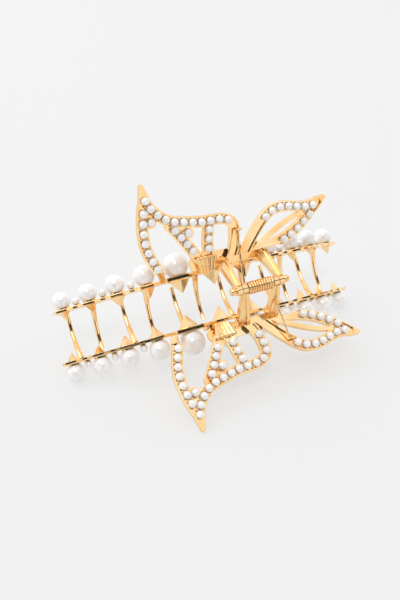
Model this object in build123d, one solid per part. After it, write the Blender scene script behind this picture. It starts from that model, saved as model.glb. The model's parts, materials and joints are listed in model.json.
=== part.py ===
from build123d import *
import math
import os

# A butterfly hair claw, in millimetres. It is drawn in the clip's own frame: X runs along the
# hinge pin, Y points from the near jaw to the far jaw, and Z points from the teeth to the hinge.
# Each jaw is drawn on the +Y side, and the near jaw's pieces are mirrored. At the end the whole
# clip is tipped over onto its near side, the way it lies on a table.

# Toothed bars
BAR_ENDS = (-55.6, 56.4)      # along X
ARCH_HALF_SPAN = 55.0
ARCH_DROP = 16.0              # how much lower the bar is at the half span than in its middle
BAR_LEAN = 4.0                # degrees; both bars lean towards the near side together
LEAN_LEVEL = -7.0             # height of the line they lean about
BAR_INNER = 8.3               # inner face at the top edge, from the middle plane
BAR_OUTER = 9.3
BAR_HEIGHT = 4.2
BAR_TOP_FALL = 0.35           # the top edge falls this much towards the outer face
BAR_FLARE = 0.3               # how far the inner face leans in towards its lower edge
BAR_CHAMFER_RISE = 0.8        # the inner face's lower edge is cut off at a slant
BAR_CHAMFER_RUN = 0.5
SCALLOP_RADIUS = 6.0          # the lower edge is scalloped between the pearls
SCALLOP_DEPTH = 1.0
LEDGE_ENDS = (-18.6, -9.4)    # a wider ledge on the top edge, beside the forewing's foot
LEDGE_INNER = 7.9
LEDGE_OUTER = 9.7
LEDGE_RISE = 0.7
NEAR_SHIFT = -1.5             # the near bar sits this far along X, so that the teeth pass

# Big pearls, from the -X end to the +X end, and the small ones between them
PEARL_PLACES = (-52.9, -44.4, -35.4, -25.4, -14.1, -2.0, 10.3, 22.2, 33.2, 43.0, 52.9)
PEARL_DIAMETERS = (6.2, 6.4, 6.8, 7.4, 8.8, 9.2, 8.8, 7.4, 6.8, 6.4, 6.2)
SPIKE_WIDTHS = (4.0, 3.8, 5.4, 5.4, 7.6, 6.8, 7.6, 5.4, 5.4, 3.8, 4.0)
SPIKE_LENGTHS = (2.8, 2.6, 3.4, 3.5, 4.6, 4.5, 4.6, 3.5, 3.4, 2.6, 2.8)
PEARL_LEVEL = 2.6             # pearl centres below the bar's top edge
PEARL_SINK = 0.8              # centre's distance from its flat back, in radii
SEAT_PROUD = 0.5
SEAT_RATIO = 0.40             # seat radius, in pearl diameters
LARGEST_SEAT = 2.2            # radius
TAB_RATIO = 0.60              # length of the tab above the seat, in pearl diameters
TAB_WIDTH = 0.7
TAB_RISE = 0.25               # the tab stands this much above the bar's top edge
SMALL_PEARL = 2.6
SPIKE_HEIGHT = 4.0
SPIKE_TIP = 0.3

# Teeth
TOOTH_COUNT = 6
TOOTH_PITCH = 17.3
FAR_TOOTH_START = -42.6
NEAR_TOOTH_START = -50.4
TOOTH_ROOT = (8.4, -2.9)      # (across, below the bar's top edge)
TOOTH_MIDDLE = (0.0, -6.5)
TOOTH_TIP = (-6.9, -6.3)
TOOTH_ROOT_WIDTH = 2.3
TOOTH_TIP_WIDTH = 1.4
TOOTH_FLARE = 3               # how soon the tooth reaches its tip's width; 1 is an even taper
TOOTH_DEPTH_RATIO = 0.85
TOOTH_SECTIONS = 7

# Hinge
HINGE_X = 7.2                 # middle of the hinge along the bars
HINGE_HEIGHT = 12.0
PIN_RADIUS = 0.75
PIN_FIT = 0.05
PIN_HEAD_RADIUS = 1.25
KNUCKLE_RADIUS = 1.7
KNUCKLE_WIDTH = 1.8
KNUCKLE_GAP = 0.2
COIL_LENGTH = 9.2
COIL_TURNS = 10
COIL_RADIUS = 1.75            # to the wire's centre
WIRE_RADIUS = 0.38
COIL_CLEARANCE = 0.3
LEG_REACH = 20.2              # how far across from the pin the legs reach
LEG_DRIFT = 2.6               # how far the legs lean along X
HOOK_LENGTH = 2.0
MOVING_TURNS = 0.95           # the far leg's share of the coil, just short of one turn

# Wings
WING_ROOT = 12.0              # the wing plane crosses this distance from the middle plane
WING_ROOT_HEIGHT = 5.0
WING_SLOPE = 0.35             # rise over run, outwards
WING_THICKNESS = 1.6
CHANNEL_DEPTH = 0.6
BAND_WIDTH = 3.7
RIM_WIDTH = 0.5
WING_PEARL = 2.7
WING_PEARL_PITCH = 3.12       # along one band
WING_PEARL_GAP = 0.12         # least gap to the pearls of another band
PEARL_SEARCH_STEP = 0.1       # how finely a band is searched for the next pearl's place

# Bands of the wings, as (along X, across) points of their middle lines
FORE_OUTER = ((-22.6, 11.0), (-24.8, 15.4), (-26.6, 20.6), (-26.9, 25.0), (-26.4, 29.6), (-24.9, 35.0))
FORE_EDGE = (
    (-24.9, 35.0), (-23.2, 31.9), (-20.6, 29.3), (-18.0, 27.6), (-12.0, 26.0),
    (-5.6, 24.9), (1.0, 24.5), (4.4, 22.8), (5.0, 20.0),
)
FORE_FILL = ((-24.8, 31.5), (-23.75, 28.0))
FORE_INNER = ((5.0, 20.0), (4.5, 15.8), (2.2, 11.0))
FORE_LONG_VEIN = ((-17.4, 25.6), (-14.6, 21.9), (-12.3, 18.6), (-9.2, 14.2), (-7.2, 11.0))
FORE_SHORT_VEIN = ((-4.2, 22.6), (-5.1, 17.4), (-6.0, 11.0))
FORE_SPUR = ((-13.2, 23.6), (-11.5, 22.4))
FORE_TIP = (-25.4, 39.3)
HIND_OUTER = ((6.8, 11.0), (10.8, 15.8), (15.0, 20.4), (19.0, 23.4), (24.0, 24.1), (30.0, 22.9), (37.4, 23.0))
HIND_INNER = ((11.4, 11.4), (19.0, 12.6), (26.0, 14.7), (31.8, 18.2), (37.0, 22.8))
HIND_VEIN = ((9.0, 11.0), (17.5, 15.6), (25.4, 19.2), (34.4, 21.0))
VEIN_WIDTH = 1.5              # the hindwing's plain vein
HIND_TIP = (40.0, 24.2)
TIP_RADIUS = 0.7
HIND_BARE_SHARE = 0.42        # the hindwing's outer band is plain along this share
FOOT_LINE = ((-22.8, 5.0), (-22.2, 2.6), (-20.6, 0.0), (-20.05, -2.6))   # (along X, height)
FOOT_WIDTH = 2.0
FOOT_DEPTH = 3.7
FOOT_SLANT = ((9.3, -1.2), (12.6, 5.2))   # (across, height): the foot's slanted inner face

# Arms, the strap that ties arms and wings together, and the lugs that hold the bar
STRAP_START = -12.0
STRAP_END = 16.0
STRAP_NEAREST = 9.4
STRAP_FARTHEST = 14.4
STRAP_THICKNESS = 0.8
ARM_FOOT = 11.8               # the arms end here, and the wings start just past it
ARM_FOOT_SLIT = 0.1
FAR_REACH = 200.0             # longer than anything it cuts
ARM_OUTLINE = ((0.4, 13.5), (ARM_FOOT, 5.0), (ARM_FOOT, 3.4), (10.0, 3.4), (-0.4, 10.8))
INNER_FEET = ((-1.2, 3.2), (9.8, 13.9))
OUTER_FEET = ((-2.8, 1.2), (11.8, 15.9))
RIB_WIDTH = 1.1
RIB_RISE = 0.7
LUG_WIDTH = 2.0
LUG_THICKNESS = 1.5
LUG_PLACES = (-8.0, 4.1)      # the lugs stand in the gaps beside the middle pearl
LUG_FOOT = -3.2
LUG_TOP = 3.6

# Feather ornament at the root of each forewing
FEATHER_COUNT = 5
FEATHER_X = -6.5
FEATHER_TOP = (13.2, 6.2)     # (across, height) of the rods' thick ends
FEATHER_FOOT = (9.0, 5.0)
FEATHER_TOP_STEP = 1.5
FEATHER_FOOT_STEP = 1.0
FEATHER_TOP_RADIUS = 0.9
FEATHER_FOOT_RADIUS = 0.55
FEATHER_CLEARANCE = 2.3       # from the rods' ends to the middle of the nearest pearl

arch_radius = ARCH_HALF_SPAN ** 2 / (2 * ARCH_DROP) + ARCH_DROP / 2
seat_face = BAR_OUTER + SEAT_PROUD
wing_angle = math.degrees(math.atan(WING_SLOPE))
wing_cos = math.cos(math.radians(wing_angle))
wing_plane = Plane(
    origin=(0, WING_ROOT, WING_ROOT_HEIGHT),
    x_dir=(1, 0, 0),
    z_dir=(0, -WING_SLOPE, 1),
)


def arch(x):
    """Height of the bar's top edge at x."""
    return math.sqrt(arch_radius ** 2 - x ** 2) - arch_radius


def on_bar(x):
    """A location on the bar's middle line, turned with the arch, whose Z axis points outwards."""
    turn = math.degrees(math.asin(x / arch_radius))
    return Location((x, 0, arch(x)), (0, turn, 0)) * Location((0, 0, -PEARL_LEVEL), (-90, 0, 0))


def swept_along_arch(profile, ends):
    """A profile drawn across the bar, turned about the centre of the arch from one end to the other."""
    centre = Axis((0, 0, -arch_radius), (0, 1, 0))
    first, last = [math.degrees(math.asin(x / arch_radius)) for x in ends]
    strip = revolve(Plane.YZ * profile, axis=centre, revolution_arc=last - first)
    return strip.rotate(centre, first)


def bar_strip():
    """The arched strip with its ledge and scalloped lower edge."""
    profile = Polygon(
        (BAR_OUTER, -BAR_TOP_FALL),
        (BAR_INNER, 0),
        (BAR_INNER - BAR_FLARE, -BAR_HEIGHT + BAR_CHAMFER_RISE),
        (BAR_INNER - BAR_FLARE + BAR_CHAMFER_RUN, -BAR_HEIGHT),
        (BAR_OUTER, -BAR_HEIGHT),
        align=None,
    )
    ledge = Polygon(
        (LEDGE_INNER, -BAR_TOP_FALL),
        (LEDGE_OUTER, -BAR_TOP_FALL),
        (LEDGE_OUTER - LEDGE_RISE / 2, LEDGE_RISE),
        (LEDGE_INNER + LEDGE_RISE / 2, LEDGE_RISE),
        align=None,
    )
    strip = swept_along_arch(profile, BAR_ENDS) + swept_along_arch(ledge, LEDGE_ENDS)
    for x in gap_middles():
        below = PEARL_LEVEL - BAR_HEIGHT + SCALLOP_DEPTH - SCALLOP_RADIUS
        strip -= on_bar(x) * Pos(0, -below, 0) * Cylinder(SCALLOP_RADIUS, 3 * BAR_OUTER)
    return strip


def gap_middles():
    """Halfway between neighbouring big pearls."""
    return [(a + b) / 2 for a, b in zip(PEARL_PLACES, PEARL_PLACES[1:])]


def spike(width, length):
    """A four-sided point on the inner face, behind a pearl, with one edge upwards."""
    half_width, half_height = width / 2, SPIKE_HEIGHT / 2
    diamond = Polygon((-half_width, 0), (0, -half_height), (half_width, 0), (0, half_height), align=None)
    base = Plane.XY.offset(BAR_INNER) * diamond
    tip = Plane.XY.offset(BAR_INNER - length) * scale(diamond, SPIKE_TIP / width)
    return loft([base, tip])


def seat(diameter):
    """The round plate that carries a pearl, and the flat tab above it on the bar's inner edge."""
    radius = min(SEAT_RATIO * diameter, LARGEST_SEAT)
    plate = extrude(Circle(radius), seat_face - BAR_INNER)
    top = -PEARL_LEVEL - TAB_RISE
    tab = Pos(0, top) * Rectangle(TAB_RATIO * diameter, -top, align=(Align.CENTER, Align.MIN))
    return Plane.XY.offset(BAR_INNER) * (plate + extrude(tab, TAB_WIDTH))


def tooth(x):
    """A tapering curved tooth from one bar to just under the other."""
    level = arch(x)
    path = ThreePointArc(*[(x, across, level + rise) for across, rise in (TOOTH_ROOT, TOOTH_MIDDLE, TOOTH_TIP)])
    sections = []
    for step in range(TOOTH_SECTIONS):
        t = step / (TOOTH_SECTIONS - 1)
        width = TOOTH_TIP_WIDTH + (TOOTH_ROOT_WIDTH - TOOTH_TIP_WIDTH) * (1 - t) ** TOOTH_FLARE
        plane = Plane(origin=path @ t, x_dir=(1, 0, 0), z_dir=path % t)
        sections.append(plane * Ellipse(width / 2, TOOTH_DEPTH_RATIO * width / 2))
    return loft(sections)


def toothed_bar(tooth_start, shift):
    """One jaw's bar with its seats, spikes and teeth; the teeth keep their own places."""
    bar = bar_strip()
    for x, diameter, width, length in zip(PEARL_PLACES, PEARL_DIAMETERS, SPIKE_WIDTHS, SPIKE_LENGTHS):
        bar += on_bar(x) * seat(diameter)
        bar += on_bar(x) * spike(width, length)
    for place in small_pearl_places():
        bar += on_bar(place) * seat(SMALL_PEARL)
    for index in range(TOOTH_COUNT):
        bar += tooth(tooth_start + index * TOOTH_PITCH - shift)
    return Pos(shift, 0, 0) * bar


def flat_backed_pearl(diameter):
    """A pearl on the plane z = 0, with a flat back glued to it."""
    radius = diameter / 2
    ball = Pos(0, 0, PEARL_SINK * radius) * Sphere(radius)
    return split(ball, bisect_by=Plane.XY, keep=Keep.TOP)


def big_pearl(x, diameter, shift):
    """A big pearl on its seat."""
    return Pos(shift, 0, 0) * on_bar(x) * Pos(0, 0, seat_face) * flat_backed_pearl(diameter)


def small_pearl_places():
    """Halfway between neighbours, leaving out the places that the lugs and the wing foot take."""
    taken = LUG_PLACES + (FOOT_LINE[-1][0],)
    return [x for x in gap_middles() if all(abs(x - other) > 1 for other in taken)]


def small_pearls(shift):
    """The small pearls of one bar."""
    row = [on_bar(x) * Pos(0, 0, seat_face) * flat_backed_pearl(SMALL_PEARL) for x in small_pearl_places()]
    return Pos(shift, 0, 0) * Compound(children=[Part() + pearl for pearl in row])


def wing_point(x, across):
    """A point of the wing plane, from its place along X and its distance from the middle plane."""
    return (x, (across - WING_ROOT) / wing_cos)


def middle_line(points):
    """A smooth line through the given points of the wing plane."""
    return Spline(*[wing_point(x, across) for x, across in points])


def band(points, width):
    """A flat band along a middle line, with round ends."""
    line = middle_line(points)
    ends = Locations(line @ 0, line @ 1).locations
    caps = [end * Circle(width / 2) for end in ends]
    return trace(line, width) + caps


def wing_tip_outline(band_end, tip):
    """The taper from a band's round end to the small round tip of the wing."""
    ends = Pos(*wing_point(*band_end)) * Circle(BAND_WIDTH / 2) + Pos(*wing_point(*tip)) * Circle(TIP_RADIUS)
    return make_hull(ends.edges())


def wing_plate(bands, tip, veins=()):
    """An openwork wing: bands with raised rims and plain veins, cut off straight where the arms end."""
    outline = wing_tip_outline(bands[0][-1], tip)
    for points in veins:
        outline += band(points, VEIN_WIDTH)
    for points in bands:
        outline += band(points, BAND_WIDTH)
    root = wing_point(0, ARM_FOOT + ARM_FOOT_SLIT)[1]
    outline -= Pos(0, root) * Rectangle(FAR_REACH, FAR_REACH / 2, align=(Align.CENTER, Align.MAX))
    plate = extrude(outline, WING_THICKNESS / 2, both=True)
    channel_floor = Pos(0, 0, WING_THICKNESS / 2 - CHANNEL_DEPTH)
    for points in bands:
        plate -= channel_floor * extrude(band(points, BAND_WIDTH - 2 * RIM_WIDTH), WING_THICKNESS)
    return wing_plane * plate


def leaned(shape, lean):
    """Tips a bar's piece about the line that the bars lean about."""
    return Pos(0, 0, LEAN_LEVEL) * Rot(lean, 0, 0) * Pos(0, 0, -LEAN_LEVEL) * shape


def wing_foot(lean):
    """The curved foot that ties the forewing's outer band to the bar, leaning with the bar."""
    rise = -BAR_OUTER * math.sin(math.radians(lean))
    top, upper, *rest_of_line = FOOT_LINE
    raised = [(top[0], top[1] + rise), (upper[0], upper[1] + rise / 2)]
    outline = trace(Spline(*raised, *rest_of_line), FOOT_WIDTH)
    post = Pos(0, BAR_OUTER + FOOT_DEPTH, 0) * extrude(Plane.XZ * outline, FOOT_DEPTH)
    corner = (FOOT_SLANT[0][0], FAR_REACH)
    above = Polygon(*FOOT_SLANT, (FOOT_SLANT[1][0], FAR_REACH), corner, align=None)
    return leaned(post - extrude(Plane.YZ * above, FAR_REACH, both=True), lean)


def feather():
    """A fan of tapered rods at the root of the forewing."""
    rods = []
    for index in range(FEATHER_COUNT):
        place = index - (FEATHER_COUNT - 1) / 2
        foot = Vector(FEATHER_X + place * FEATHER_FOOT_STEP, *FEATHER_FOOT)
        top = Vector(FEATHER_X + place * FEATHER_TOP_STEP, *FEATHER_TOP)
        along = Plane(origin=foot, z_dir=top - foot)
        length = (top - foot).length
        rod = Cone(
            FEATHER_FOOT_RADIUS,
            FEATHER_TOP_RADIUS,
            length,
            align=(Align.CENTER, Align.CENTER, Align.MIN),
        )
        rods.append(along * rod)
        rods.append(Pos(*top) * Sphere(FEATHER_TOP_RADIUS))
        rods.append(Pos(*foot) * Sphere(FEATHER_FOOT_RADIUS))
    return rods


def forewing(shift, lean):
    """The larger wing, on the -X side; its foot follows the bar's own shift and lean."""
    bands = (FORE_OUTER, FORE_EDGE, FORE_FILL, FORE_INNER, FORE_LONG_VEIN, FORE_SHORT_VEIN, FORE_SPUR)
    wing = wing_plate(bands, FORE_TIP)
    wing += Pos(shift, 0, 0) * wing_foot(lean)
    return wing + feather()


def hindwing():
    """The smaller wing, on the +X side."""
    return wing_plate((HIND_OUTER, HIND_INNER), HIND_TIP, veins=(HIND_VEIN,))


def wing_pearls(rows, kept_free):
    """Small pearls along the bands, each a full pitch from the others and off the kept-free points."""
    nearest_root = wing_point(0, ARM_FOOT)[1] + WING_PEARL / 2 + RIM_WIDTH
    places = []
    for points, bare_share in rows:
        line = middle_line(points)
        steps = int(line.length / PEARL_SEARCH_STEP)
        first_of_row = len(places)
        for step in range(int(bare_share * steps), steps + 1):
            place = line @ (step / steps)
            apart = all((place - other).length > WING_PEARL + WING_PEARL_GAP for other in places)
            apart = apart and all((place - other).length > WING_PEARL_PITCH for other in places[first_of_row:])
            free = all((place - Vector(*point)).length > FEATHER_CLEARANCE for point in kept_free)
            if apart and free and place.Y > nearest_root:
                places.append(place)
    floor = WING_THICKNESS / 2 - CHANNEL_DEPTH
    pearls = [wing_plane * Pos(p.X, p.Y, floor) * flat_backed_pearl(WING_PEARL) for p in places]
    return Compound(children=[Part() + pearl for pearl in pearls])


def feather_places():
    """Where the rods of the feather end, in the wing plane."""
    offsets = [index - (FEATHER_COUNT - 1) / 2 for index in range(FEATHER_COUNT)]
    return [wing_point(FEATHER_X + offset_x * FEATHER_TOP_STEP, FEATHER_TOP[0]) for offset_x in offsets]


def forewing_pearls(inner_bare):
    """Pearls of a forewing; the far one has none under the spring's leg."""
    bands = (FORE_EDGE, FORE_OUTER[::-1], FORE_FILL, FORE_LONG_VEIN, FORE_SHORT_VEIN, FORE_SPUR)
    rows = [(points, 0.0) for points in bands]
    kept_free = feather_places()
    if inner_bare:
        kept_free += [wing_point(coil_start + LEG_DRIFT + place, LEG_REACH) for place in (0, HOOK_LENGTH)]
    else:
        rows.append((FORE_INNER, 0.0))
    return wing_pearls(rows, kept_free)


def hindwing_pearls():
    """Pearls of a hindwing; the outer band's plain share leaves room for the near spring leg."""
    return wing_pearls([(HIND_OUTER, HIND_BARE_SHARE), (HIND_INNER, 0.0)], [])


def arm(knuckle_start, foot):
    """A bent arm from its knuckle down to the strap, with a rib along its +X edge."""
    knuckle_end = knuckle_start + KNUCKLE_WIDTH
    side = Polygon(*ARM_OUTLINE, align=None)
    plan = Polygon(
        (knuckle_start, -BAR_OUTER),
        (knuckle_end, -BAR_OUTER),
        (knuckle_end, KNUCKLE_RADIUS),
        (foot[1], ARM_FOOT),
        (foot[0], ARM_FOOT),
        (knuckle_start, KNUCKLE_RADIUS),
        align=None,
    )
    rib_plan = Polygon(
        (knuckle_end - RIB_WIDTH, KNUCKLE_RADIUS),
        (knuckle_end, KNUCKLE_RADIUS),
        (foot[1], ARM_FOOT),
        (foot[1] - RIB_WIDTH, ARM_FOOT),
        align=None,
    )
    slab = extrude(Plane.YZ * side, FAR_REACH, both=True)
    body = slab & extrude(plan, FAR_REACH)
    rib = Pos(0, 0, RIB_RISE) * slab & extrude(rib_plan, FAR_REACH)
    barrel = Pos(knuckle_start, 0, HINGE_HEIGHT) * along_x(KNUCKLE_RADIUS, KNUCKLE_WIDTH)
    bore = Pos(knuckle_start, 0, HINGE_HEIGHT) * along_x(PIN_RADIUS + PIN_FIT, KNUCKLE_WIDTH)
    return body + rib + barrel - bore


def along_x(radius, length):
    """A cylinder that starts at the origin and runs along +X."""
    return Rot(0, 90, 0) * Cylinder(radius, length, align=(Align.CENTER, Align.CENTER, Align.MIN))


def hinge_frame(knuckle_starts, feet, shift, lean):
    """Two knuckled arms, the strap under the wings and the lugs on the bar."""
    near = wing_point(0, STRAP_NEAREST)[1]
    far = wing_point(0, STRAP_FARTHEST)[1]
    middle = Pos((STRAP_START + STRAP_END) / 2, (near + far) / 2, -WING_THICKNESS / 2)
    strap = middle * extrude(SlotOverall(STRAP_END - STRAP_START, far - near), -STRAP_THICKNESS)
    frame = wing_plane * strap
    for knuckle_start, foot in zip(knuckle_starts, feet):
        frame += arm(knuckle_start, foot)
    for place in LUG_PLACES:
        lug = Box(LUG_WIDTH, LUG_THICKNESS, LUG_TOP - LUG_FOOT, align=(Align.CENTER, Align.MIN, Align.MIN))
        frame += leaned(Pos(place + shift, BAR_OUTER, LUG_FOOT) * lug, lean)
    return frame


def coil(start, turns):
    """Part of the spring's coil, counted in turns from its -X end; it starts under the pin."""
    pitch = COIL_LENGTH / COIL_TURNS
    helix = Helix(pitch, turns * pitch, COIL_RADIUS, lefthand=True)
    section = Plane(origin=helix @ 0, z_dir=helix % 0) * Circle(WIRE_RADIUS)
    wire = sweep(section, path=helix, is_frenet=True)
    place = Plane(
        origin=(coil_start + start * pitch, 0, HINGE_HEIGHT),
        x_dir=(0, 0, -1),
        z_dir=(1, 0, 0),
    )
    return place * wire


def spring_leg(x, side):
    """A straight leg with a hooked end, from under the pin out to the wing."""
    rise = WING_THICKNESS / 2 + WIRE_RADIUS + ARM_FOOT_SLIT
    end_across = wing_point(0, LEG_REACH)[1]
    resting = wing_plane * Pos(x + LEG_DRIFT, end_across, rise)
    bend = Vector(resting.position.X, side * resting.position.Y, resting.position.Z)
    start = Vector(x, 0, HINGE_HEIGHT - COIL_RADIUS)
    tip = bend + Vector(HOOK_LENGTH, 0, 0)
    return [wire_run(start, bend), wire_run(bend, tip)] + [Pos(*p) * Sphere(WIRE_RADIUS) for p in (start, bend, tip)]


def wire_run(start, end):
    """A straight piece of spring wire."""
    run = Plane(origin=start, z_dir=end - start)
    return run * Cylinder(WIRE_RADIUS, (end - start).length, align=(Align.CENTER, Align.CENTER, Align.MIN))


def hinge_pin():
    """The pin, with a round head at each end."""
    first = outer_knuckles[0] - KNUCKLE_GAP
    last = outer_knuckles[1] + KNUCKLE_WIDTH + KNUCKLE_GAP
    head_offset = math.sqrt(PIN_HEAD_RADIUS ** 2 - PIN_RADIUS ** 2)
    pin = Pos(first, 0, HINGE_HEIGHT) * along_x(PIN_RADIUS, last - first)
    for x in (first - head_offset, last + head_offset):
        pin += Pos(x, 0, HINGE_HEIGHT) * Sphere(PIN_HEAD_RADIUS)
    return pin


coil_start = HINGE_X - COIL_LENGTH / 2
coil_end = HINGE_X + COIL_LENGTH / 2
inner_knuckles = (coil_start - COIL_CLEARANCE - KNUCKLE_WIDTH, coil_end + COIL_CLEARANCE)
outer_knuckles = (
    inner_knuckles[0] - KNUCKLE_GAP - KNUCKLE_WIDTH,
    inner_knuckles[1] + KNUCKLE_WIDTH + KNUCKLE_GAP,
)

# The near jaw is drawn on the +Y side and mirrored, so its lean has the other sign there.
near = {
    "near_toothed_bar": leaned(toothed_bar(NEAR_TOOTH_START, NEAR_SHIFT), BAR_LEAN),
    "near_small_pearls": leaned(small_pearls(NEAR_SHIFT), BAR_LEAN),
    "near_hinge_frame": hinge_frame(inner_knuckles, INNER_FEET, NEAR_SHIFT, BAR_LEAN),
    "near_forewing": forewing(NEAR_SHIFT, BAR_LEAN),
    "near_forewing_pearls": forewing_pearls(inner_bare=False),
    "near_hindwing": hindwing(),
    "near_hindwing_pearls": hindwing_pearls(),
}
far = {
    "far_toothed_bar": leaned(toothed_bar(FAR_TOOTH_START, 0.0), -BAR_LEAN),
    "far_small_pearls": leaned(small_pearls(0.0), -BAR_LEAN),
    "far_hinge_frame": hinge_frame(outer_knuckles, OUTER_FEET, 0.0, -BAR_LEAN),
    "far_forewing": forewing(0.0, -BAR_LEAN),
    "far_forewing_pearls": forewing_pearls(inner_bare=True),
    "far_hindwing": hindwing(),
    "far_hindwing_pearls": hindwing_pearls(),
}
for number, (x, diameter) in enumerate(zip(PEARL_PLACES, PEARL_DIAMETERS), start=1):
    near[f"near_pearl_{number:02d}"] = leaned(big_pearl(x, diameter, NEAR_SHIFT), BAR_LEAN)
    far[f"far_pearl_{number:02d}"] = leaned(big_pearl(x, diameter, 0.0), -BAR_LEAN)

nodes = {name: mirror(shape, about=Plane.XZ) for name, shape in near.items()}
nodes.update(far)
nodes["hinge_pin"] = hinge_pin()
nodes["torsion_spring"] = coil(1, COIL_TURNS - 1) + spring_leg(coil_end, -1)
nodes["spring_far_leg"] = coil(0, MOVING_TURNS) + spring_leg(coil_start, 1)

# The clip lies on the near bar's end pearls and on the near forewing's tip. The tilt about X
# puts the lowest points of both at one height.
end_radius = PEARL_DIAMETERS[0] / 2
end_pearl = leaned(on_bar(PEARL_PLACES[0]) * Pos(0, 0, seat_face + PEARL_SINK * end_radius), BAR_LEAN).position
tip_x, tip_along = wing_point(*FORE_TIP)
wing_tip = (wing_plane * Pos(tip_x, tip_along + TIP_RADIUS, -WING_THICKNESS / 2)).position
outwards = wing_tip.Y - end_pearl.Y
upwards = wing_tip.Z - end_pearl.Z
tilt = math.degrees(math.atan2(upwards, outwards) + math.asin(end_radius / math.hypot(outwards, upwards)))
nodes = {name: Rot(tilt, 0, 0) * shape for name, shape in nodes.items()}
boxes = [shape.bounding_box() for shape in nodes.values()]
low = [min(getattr(box.min, side) for box in boxes) for side in "XYZ"]
high = [max(getattr(box.max, side) for box in boxes) for side in "XYZ"]
rest = Pos(-(low[0] + high[0]) / 2, -(low[1] + high[1]) / 2, -low[2])
hinge = (rest * Rot(tilt, 0, 0) * Pos(HINGE_X, 0, HINGE_HEIGHT)).position
print(f"tilt {tilt:.2f} degrees, hinge at {hinge.X:.3f} {hinge.Y:.3f} {hinge.Z:.3f}")

os.makedirs("parts", exist_ok=True)
for name, shape in nodes.items():
    export_step(rest * shape, f"parts/{name}.step")
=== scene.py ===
import json
import math

import bmesh
import bpy
from mathutils import Matrix, Vector


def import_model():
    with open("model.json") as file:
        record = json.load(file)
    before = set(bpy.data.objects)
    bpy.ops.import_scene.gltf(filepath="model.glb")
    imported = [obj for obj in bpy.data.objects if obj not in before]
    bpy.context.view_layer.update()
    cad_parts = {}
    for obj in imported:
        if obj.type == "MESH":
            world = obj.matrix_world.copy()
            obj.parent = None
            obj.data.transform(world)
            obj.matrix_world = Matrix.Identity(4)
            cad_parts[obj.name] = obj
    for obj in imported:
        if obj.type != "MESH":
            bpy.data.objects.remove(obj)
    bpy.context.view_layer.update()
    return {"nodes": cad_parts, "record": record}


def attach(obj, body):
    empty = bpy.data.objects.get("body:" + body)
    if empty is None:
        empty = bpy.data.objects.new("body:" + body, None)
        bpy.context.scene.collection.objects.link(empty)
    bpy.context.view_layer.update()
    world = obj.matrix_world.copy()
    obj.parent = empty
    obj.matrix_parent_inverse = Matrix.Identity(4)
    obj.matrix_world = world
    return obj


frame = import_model()

# A butterfly hair claw of gold-plated metal and imitation pearl, lying on a pale floor. The
# carried CAD nodes get their materials, and small gold beads are added between the wing pearls.
# Lengths are in metres unless a comment says otherwise.

# Camera: it looks at a point beside the hinge, from in front, from the left and from above.
CAMERA_AZIMUTH = -26.2        # degrees; 0 looks along +Y
CAMERA_ELEVATION = 35.3
CAMERA_ROLL = 1.2
CAMERA_DISTANCE = 0.2914
CAMERA_AIM = (-0.0189, 0.0059, -0.0043)       # from the hinge
CAMERA_LENS = 53.1            # millimetres, like the sensor
CAMERA_SENSOR = 36.0
CAMERA_CLIP_START = 0.01

# Surround: pale, with a dark band and an upright dark strip in front and a bright round lamp
# above the camera, all of which the polished gold mirrors. X, Y and Z are those of a unit
# vector in the direction looked in.
WORLD_STRENGTH = 1.05
DARK_LEVEL = 0.02
BAND_POLE = (0.0, 0.67, 0.74)                 # the dark band runs round it, nearly square to it
BAND_OFFSET = 0.056           # cosine of the angle between the pole and the band's middle
BAND_WIDTHS = (0.10, 0.17)    # dark up to the first distance from its middle, pale from the second
STRIP_MIDDLE = -0.36          # X of the upright strip
STRIP_WIDTHS = (0.24, 0.36)   # as for the band
STRIP_LOW = (-0.10, 0.05)     # the strip's Z: pale below the first, dark above the second
DARK_FRONT = (-0.25, -0.02)   # Y of both: dark in front of the first, pale behind the second
SPOT_TOWARDS = (-0.30, -0.38, 0.87)
SPOT_EDGE = (0.975, 0.992)    # cosine of the angle from the lamp's middle: unlit, fully lit
SPOT_STRENGTH = 8.0

# Key light: one large soft lamp behind the clip
KEY_POWER = 2.0               # watts
KEY_SIZE = 0.5
KEY_PLACE = (-0.35, 0.55, 0.80)

# Floor
FLOOR_SIZE = 6.0
FLOOR_COLOUR = (0.26, 0.26, 0.26, 1)
FLOOR_GLOW = 0.58             # the floor is lit from within, like a light table
FLOOR_ROUGHNESS = 0.9
FLOOR_SPECULAR = 0.1
WHITE = (1, 1, 1, 1)

# Textures; their scales are in cells per metre
NOISE_DETAIL = 4
NOISE_ROUGHNESS = 0.55
NOISE_SPAN = (0.3, 0.7)       # the noise values that count as its low and high ends
BUMP_DISTANCE = 0.00005

# Gold
GOLD_LIGHT = (1.0, 0.77, 0.45, 1)
GOLD_DEEP = (0.98, 0.58, 0.22, 1)
# Paler gold on edges: partly rubbed plating, partly a painted highlight along them
GOLD_WORN_AND_HIGHLIT = (1.0, 0.84, 0.60, 1)
GOLD_CLOUD_SCALE = 90
GOLD_POLISH_SCALE = 420
SCRATCH_SCALE = 2600
SCRATCH_DETAIL = 6
SCRATCH_STRENGTH = 0.12
POLISH_SPREAD = (0.6, 1.4)    # least and most roughness, in shares of the middle one
PLATING_ROUGHNESS = 0.13
PLATING_EDGE = 0.00012        # radius that the shading gives to sharp edges
WIRE_ROUGHNESS = 0.20
WIRE_EDGE = 0.00005
EDGE_SAMPLES = 4
EDGE_WEAR_AND_HIGHLIGHT = (0.995, 0.90)     # cosine between a face and its rounded edge: plain face, fully paled edge (rubbed plating and painted highlight)
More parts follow.
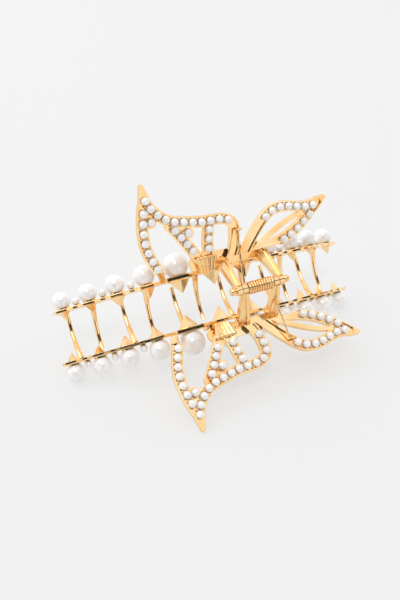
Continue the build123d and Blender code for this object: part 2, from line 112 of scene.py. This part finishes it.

# Pearl
PEARL_WHITE = (0.86, 0.85, 0.845, 1)
PEARL_CREAM = (0.82, 0.805, 0.79, 1)
PEARL_CLOUD_SCALE = 140
PEARL_CLOUD_DETAIL = 3
PEARL_HAZE_SCALE = 600
PEARL_ROUGHNESS = (0.24, 0.36)
PEARL_RIPPLE_SCALE = 900
PEARL_RIPPLE_STRENGTH = 0.05
PEARL_DEPTHS = (1.0, 0.9, 0.8)                # how deep red, green and blue light get
PEARL_BODY = {
    "Specular IOR Level": 0.7,
    "Coat Weight": 1.0,
    "Coat Roughness": 0.06,
    "Coat IOR": 1.9,
    "Sheen Weight": 0.15,
    "Emission Strength": 0.08,                # a painted glow: the pearl gives off a little light of its own, standing in for the light that passes through a small pearl
    "Subsurface Weight": 0.35,
    "Subsurface Scale": 0.002,
}

# Beads between the wing pearls
WINGS = ("near_forewing", "near_hindwing", "far_forewing", "far_hindwing")
NEIGHBOUR_REACH = 0.0037      # pearls closer than this are neighbours
BEAD_RADIUS = 0.00045
BEAD_SUBDIVISIONS = 3
BEAD_ASIDE = 0.0010           # from the line between the two pearls
BEAD_SINK = 0.00045           # below the pearls' middles
BEAD_APART = 0.0008           # least distance between two beads
BEAD_FROM_PEARL = 0.00145     # least distance from a bead to a pearl's middle
PLACE_DIGITS = 6              # corners that agree to this many decimals are one


def placed(name, data):
    """A new object in the scene."""
    made = bpy.data.objects.new(name, data)
    bpy.context.collection.objects.link(made)
    return made


def material(name):
    """A new node material, its linking function, its shader and a function that adds a node."""
    made = bpy.data.materials.new(name)
    made.use_nodes = True
    tree = made.node_tree
    shader = tree.nodes["Principled BSDF"]

    def add(kind, **values):
        """A new node; each value goes to its setting of that name, or else to its socket."""
        node = tree.nodes.new(kind)
        for key, value in values.items():
            if hasattr(node, key):
                setattr(node, key, value)
            else:
                node.inputs[key.replace("_", " ").title()].default_value = value
        return node

    return made, tree.links.new, shader, add


def noise(add, link, scale, detail=NOISE_DETAIL):
    """Fine noise over the object's own coordinates."""
    place = add("ShaderNodeTexCoord")
    texture = add("ShaderNodeTexNoise", scale=scale, detail=detail, roughness=NOISE_ROUGHNESS)
    link(place.outputs["Object"], texture.inputs["Vector"])
    return texture.outputs["Fac"]


def spread(add, link, source, low, high):
    """Turns a texture's middle values into a number from low to high."""
    least, most = NOISE_SPAN
    node = add("ShaderNodeMapRange", from_min=least, from_max=most, to_min=low, to_max=high)
    link(source, node.inputs["Value"])
    return node.outputs["Result"]


def mixed(add, link, share, first, second):
    """A colour between two others."""
    node = add("ShaderNodeMix", data_type="RGBA")
    for name, value in (("A", first), ("B", second)):
        socket = [s for s in node.inputs if s.name == name and s.type == "RGBA"][0]
        if isinstance(value, tuple):
            socket.default_value = value
        else:
            link(value, socket)
    link(share, node.inputs["Factor"])
    return [s for s in node.outputs if s.type == "RGBA"][0]


def relief(add, link, height, strength):
    """A bump node that a texture drives."""
    bump = add("ShaderNodeBump", strength=strength, distance=BUMP_DISTANCE)
    link(height, bump.inputs["Height"])
    return bump


def edge_wear_and_highlight(add, link, rounded):
    """From 0 on flat faces to 1 on edges, where the rounded normal leaves the face's own: the mask of
    paler edges, partly rubbed plating and partly a painted highlight.
    """
    shape = add("ShaderNodeNewGeometry")
    flatness = add("ShaderNodeVectorMath", operation="DOT_PRODUCT")
    link(rounded.outputs["Normal"], flatness.inputs[0])
    link(shape.outputs["Normal"], flatness.inputs[1])
    plain_face, worn_and_highlit = EDGE_WEAR_AND_HIGHLIGHT
    wear_and_highlight = add("ShaderNodeMapRange", from_min=plain_face, from_max=worn_and_highlit)
    link(flatness.outputs["Value"], wear_and_highlight.inputs["Value"])
    return wear_and_highlight.outputs["Result"]


def gold(name, roughness, edge_radius):
    """Polished light gold plating: uneven polish, fine scratches, paler edges that are partly rubbed
    plating and partly a painted highlight.
    """
    made, link, shader, add = material(name)
    shader.inputs["Metallic"].default_value = 1.0
    clouds = spread(add, link, noise(add, link, GOLD_CLOUD_SCALE), 0, 1)
    base = mixed(add, link, clouds, GOLD_LIGHT, GOLD_DEEP)
    rounded = add("ShaderNodeBevel", samples=EDGE_SAMPLES, radius=edge_radius)
    # Paler edges, partly rubbed plating and partly a painted highlight
    colour = mixed(add, link, edge_wear_and_highlight(add, link, rounded), base, GOLD_WORN_AND_HIGHLIT)
    link(colour, shader.inputs["Base Color"])
    least, most = [roughness * share for share in POLISH_SPREAD]
    polish = spread(add, link, noise(add, link, GOLD_POLISH_SCALE), least, most)
    link(polish, shader.inputs["Roughness"])
    scratches = noise(add, link, SCRATCH_SCALE, detail=SCRATCH_DETAIL)
    bump = relief(add, link, scratches, SCRATCH_STRENGTH)
    link(rounded.outputs["Normal"], bump.inputs["Normal"])
    link(bump.outputs["Normal"], shader.inputs["Normal"])
    return made


def pearl(name):
    """Imitation pearl: a soft white body under a glossy nacre coat, with a faint painted glow of its own.
    """
    made, link, shader, add = material(name)
    clouds = spread(add, link, noise(add, link, PEARL_CLOUD_SCALE, detail=PEARL_CLOUD_DETAIL), 0, 1)
    link(mixed(add, link, clouds, PEARL_WHITE, PEARL_CREAM), shader.inputs["Base Color"])
    haze = spread(add, link, noise(add, link, PEARL_HAZE_SCALE), *PEARL_ROUGHNESS)
    link(haze, shader.inputs["Roughness"])
    for socket, number in PEARL_BODY.items():
        shader.inputs[socket].default_value = number
    # The painted glow, in the pearl's own white
    shader.inputs["Emission Color"].default_value = PEARL_WHITE
    shader.inputs["Subsurface Radius"].default_value = PEARL_DEPTHS
    bump = relief(add, link, noise(add, link, PEARL_RIPPLE_SCALE), PEARL_RIPPLE_STRENGTH)
    link(bump.outputs["Normal"], shader.inputs["Normal"])
    return made


def dress(node, made):
    """Gives a carried CAD node its material."""
    mesh = frame["nodes"][node].data
    mesh.materials.clear()
    mesh.materials.append(made)


def loose_parts(mesh):
    """The corner points of each separate lump of a mesh; corners at one place count as one."""
    places = [tuple(round(number, PLACE_DIGITS) for number in vertex.co) for vertex in mesh.vertices]
    owner = {place: place for place in places}

    def root(place):
        """The corner that stands for this one's lump."""
        while owner[place] != place:
            owner[place] = owner[owner[place]]
            place = owner[place]
        return place

    for edge in mesh.edges:
        first, second = edge.vertices
        owner[root(places[first])] = root(places[second])
    parts = {}
    for place in owner:
        parts.setdefault(root(place), []).append(Vector(place))
    return list(parts.values())


def middle(points):
    """The middle of a lump's bounding box."""
    return Vector([(min(p[i] for p in points) + max(p[i] for p in points)) / 2 for i in range(3)])


def out_of_wing(centres):
    """The direction square to the plane of a wing's pearls, on its upper side."""
    steps = [centre - centres[0] for centre in centres]
    along = max(steps, key=lambda step: step.length).normalized()
    square = max((along.cross(step) for step in steps), key=lambda side: side.length).normalized()
    return -square if square.z < 0 else square


def bead_places(centres):
    """The hollows on both sides of where two neighbouring pearls meet, if a bead has room there."""
    upwards = out_of_wing(centres)
    hollows = []
    for index, first in enumerate(centres):
        for second in centres[index + 1:]:
            if (second - first).length < NEIGHBOUR_REACH:
                across = upwards.cross(second - first).normalized()
                for side in (-1, 1):
                    aside = across * side * BEAD_ASIDE
                    hollows.append((first + second) / 2 + aside - upwards * BEAD_SINK)
    kept = []
    for place in hollows:
        apart = all((place - other).length > BEAD_APART for other in kept)
        if apart and all((place - centre).length > BEAD_FROM_PEARL for centre in centres):
            kept.append(place)
    return kept


def prong_beads(wing, body):
    """The small gold beads between one wing's pearls."""
    carried = frame["nodes"][wing + "_pearls"]
    centres = [carried.matrix_world @ middle(part) for part in loose_parts(carried.data)]
    shape = bmesh.new()
    for place in bead_places(centres):
        bmesh.ops.create_icosphere(
            shape,
            subdivisions=BEAD_SUBDIVISIONS,
            radius=BEAD_RADIUS,
            matrix=Matrix.Translation(place),
        )
    for face in shape.faces:
        face.smooth = True
    mesh = bpy.data.meshes.new(wing + "_beads")
    shape.to_mesh(mesh)
    shape.free()
    made = placed(wing + "_beads", mesh)
    mesh.materials.append(plating)
    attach(made, body)


def hinge_place():
    """Where the hinge pin's axis passes the middle of the hinge."""
    return Vector(frame["record"]["behaviour"]["joints"][0]["pos_m"])


def camera():
    """The camera, at the photograph's viewing angle."""
    azimuth = math.radians(CAMERA_AZIMUTH)
    elevation = math.radians(CAMERA_ELEVATION)
    back = Vector((
        math.sin(azimuth) * math.cos(elevation),
        -math.cos(azimuth) * math.cos(elevation),
        math.sin(elevation),
    ))
    made = placed("camera", bpy.data.cameras.new("camera"))
    made.data.sensor_width = CAMERA_SENSOR
    made.data.lens = CAMERA_LENS
    made.data.clip_start = CAMERA_CLIP_START
    made.location = hinge_place() + Vector(CAMERA_AIM) + back * CAMERA_DISTANCE
    level = (-back).to_track_quat("-Z", "Y").to_matrix()
    made.rotation_euler = (level @ Matrix.Rotation(math.radians(CAMERA_ROLL), 3, "Z")).to_euler()
    bpy.context.scene.camera = made


def key_light():
    """A square area light that faces the hinge."""
    made = placed("key_light", bpy.data.lights.new("key_light", "AREA"))
    made.data.size = KEY_SIZE
    made.data.energy = KEY_POWER
    made.location = KEY_PLACE
    made.rotation_euler = (hinge_place() - Vector(KEY_PLACE)).to_track_quat("-Z", "Y").to_euler()


def world():
    """The pale surround with its dark band, its dark strip and its bright lamp."""
    made = bpy.data.worlds.new("world")
    bpy.context.scene.world = made
    made.use_nodes = True
    nodes, link = made.node_tree.nodes, made.node_tree.links.new
    direction = nodes.new("ShaderNodeTexCoord").outputs["Generated"]
    axes = nodes.new("ShaderNodeSeparateXYZ")
    link(direction, axes.inputs["Vector"])

    def cosine(towards):
        """Cosine of the angle between the direction looked in and another one."""
        node = nodes.new("ShaderNodeVectorMath")
        node.operation = "DOT_PRODUCT"
        node.inputs[1].default_value = Vector(towards).normalized()
        link(direction, node.inputs[0])
        return node.outputs["Value"]

    def ramp(value, low, high, first, last):
        """Runs smoothly from first to last while the value goes from low to high."""
        node = nodes.new("ShaderNodeMapRange")
        node.interpolation_type = "SMOOTHSTEP"
        for socket, number in zip(("From Min", "From Max", "To Min", "To Max"), (low, high, first, last)):
            node.inputs[socket].default_value = number
        link(value, node.inputs["Value"])
        return node.outputs["Result"]

    def math_node(kind, *values):
        """One arithmetic node fed by sockets or plain numbers."""
        node = nodes.new("ShaderNodeMath")
        node.operation = kind
        for socket, value in zip(node.inputs, values):
            if isinstance(value, (int, float)):
                socket.default_value = value
            else:
                link(value, socket)
        return node.outputs["Value"]

    def distance(value, centre):
        """How far a value is from a number, on either side of it."""
        return math_node("ABSOLUTE", math_node("SUBTRACT", value, centre))

    in_front = ramp(axes.outputs["Y"], *DARK_FRONT, 1.0, 0.0)
    in_band = ramp(distance(cosine(BAND_POLE), BAND_OFFSET), *BAND_WIDTHS, 1.0, 0.0)
    in_column = ramp(distance(axes.outputs["X"], STRIP_MIDDLE), *STRIP_WIDTHS, 1.0, 0.0)
    above_horizon = ramp(axes.outputs["Z"], *STRIP_LOW, 0.0, 1.0)
    band = math_node("MULTIPLY", in_band, in_front)
    strip = math_node("MULTIPLY", math_node("MULTIPLY", in_column, above_horizon), in_front)
    level = ramp(math_node("MAXIMUM", band, strip), 0.0, 1.0, WORLD_STRENGTH, DARK_LEVEL)
    spot = ramp(cosine(SPOT_TOWARDS), *SPOT_EDGE, 0.0, SPOT_STRENGTH)
    link(math_node("ADD", level, spot), nodes["Background"].inputs["Strength"])
    nodes["Background"].inputs["Color"].default_value = WHITE


def floor():
    """The plain pale floor."""
    half = FLOOR_SIZE / 2
    corners = [(-half, -half, 0), (half, -half, 0), (half, half, 0), (-half, half, 0)]
    mesh = bpy.data.meshes.new("floor")
    mesh.from_pydata(corners, [], [(0, 1, 2, 3)])
    made = placed("floor", mesh)
    paint, _, shader, _ = material("floor_paint")
    shader.inputs["Base Color"].default_value = FLOOR_COLOUR
    shader.inputs["Roughness"].default_value = FLOOR_ROUGHNESS
    shader.inputs["Specular IOR Level"].default_value = FLOOR_SPECULAR
    shader.inputs["Emission Color"].default_value = WHITE
    shader.inputs["Emission Strength"].default_value = FLOOR_GLOW
    mesh.materials.append(paint)


bpy.context.scene.view_settings.view_transform = "Standard"
camera()
world()
key_light()
floor()

plating = gold("gold_plating", PLATING_ROUGHNESS, PLATING_EDGE)
wire = gold("spring_wire", WIRE_ROUGHNESS, WIRE_EDGE)
nacre = pearl("pearl_nacre")
for node in frame["nodes"]:
    if "pearl" in node:
        dress(node, nacre)
    elif "spring" in node:
        dress(node, wire)
    else:
        dress(node, plating)

for wing in WINGS:
    prong_beads(wing, wing.split("_")[0] + "_jaw")
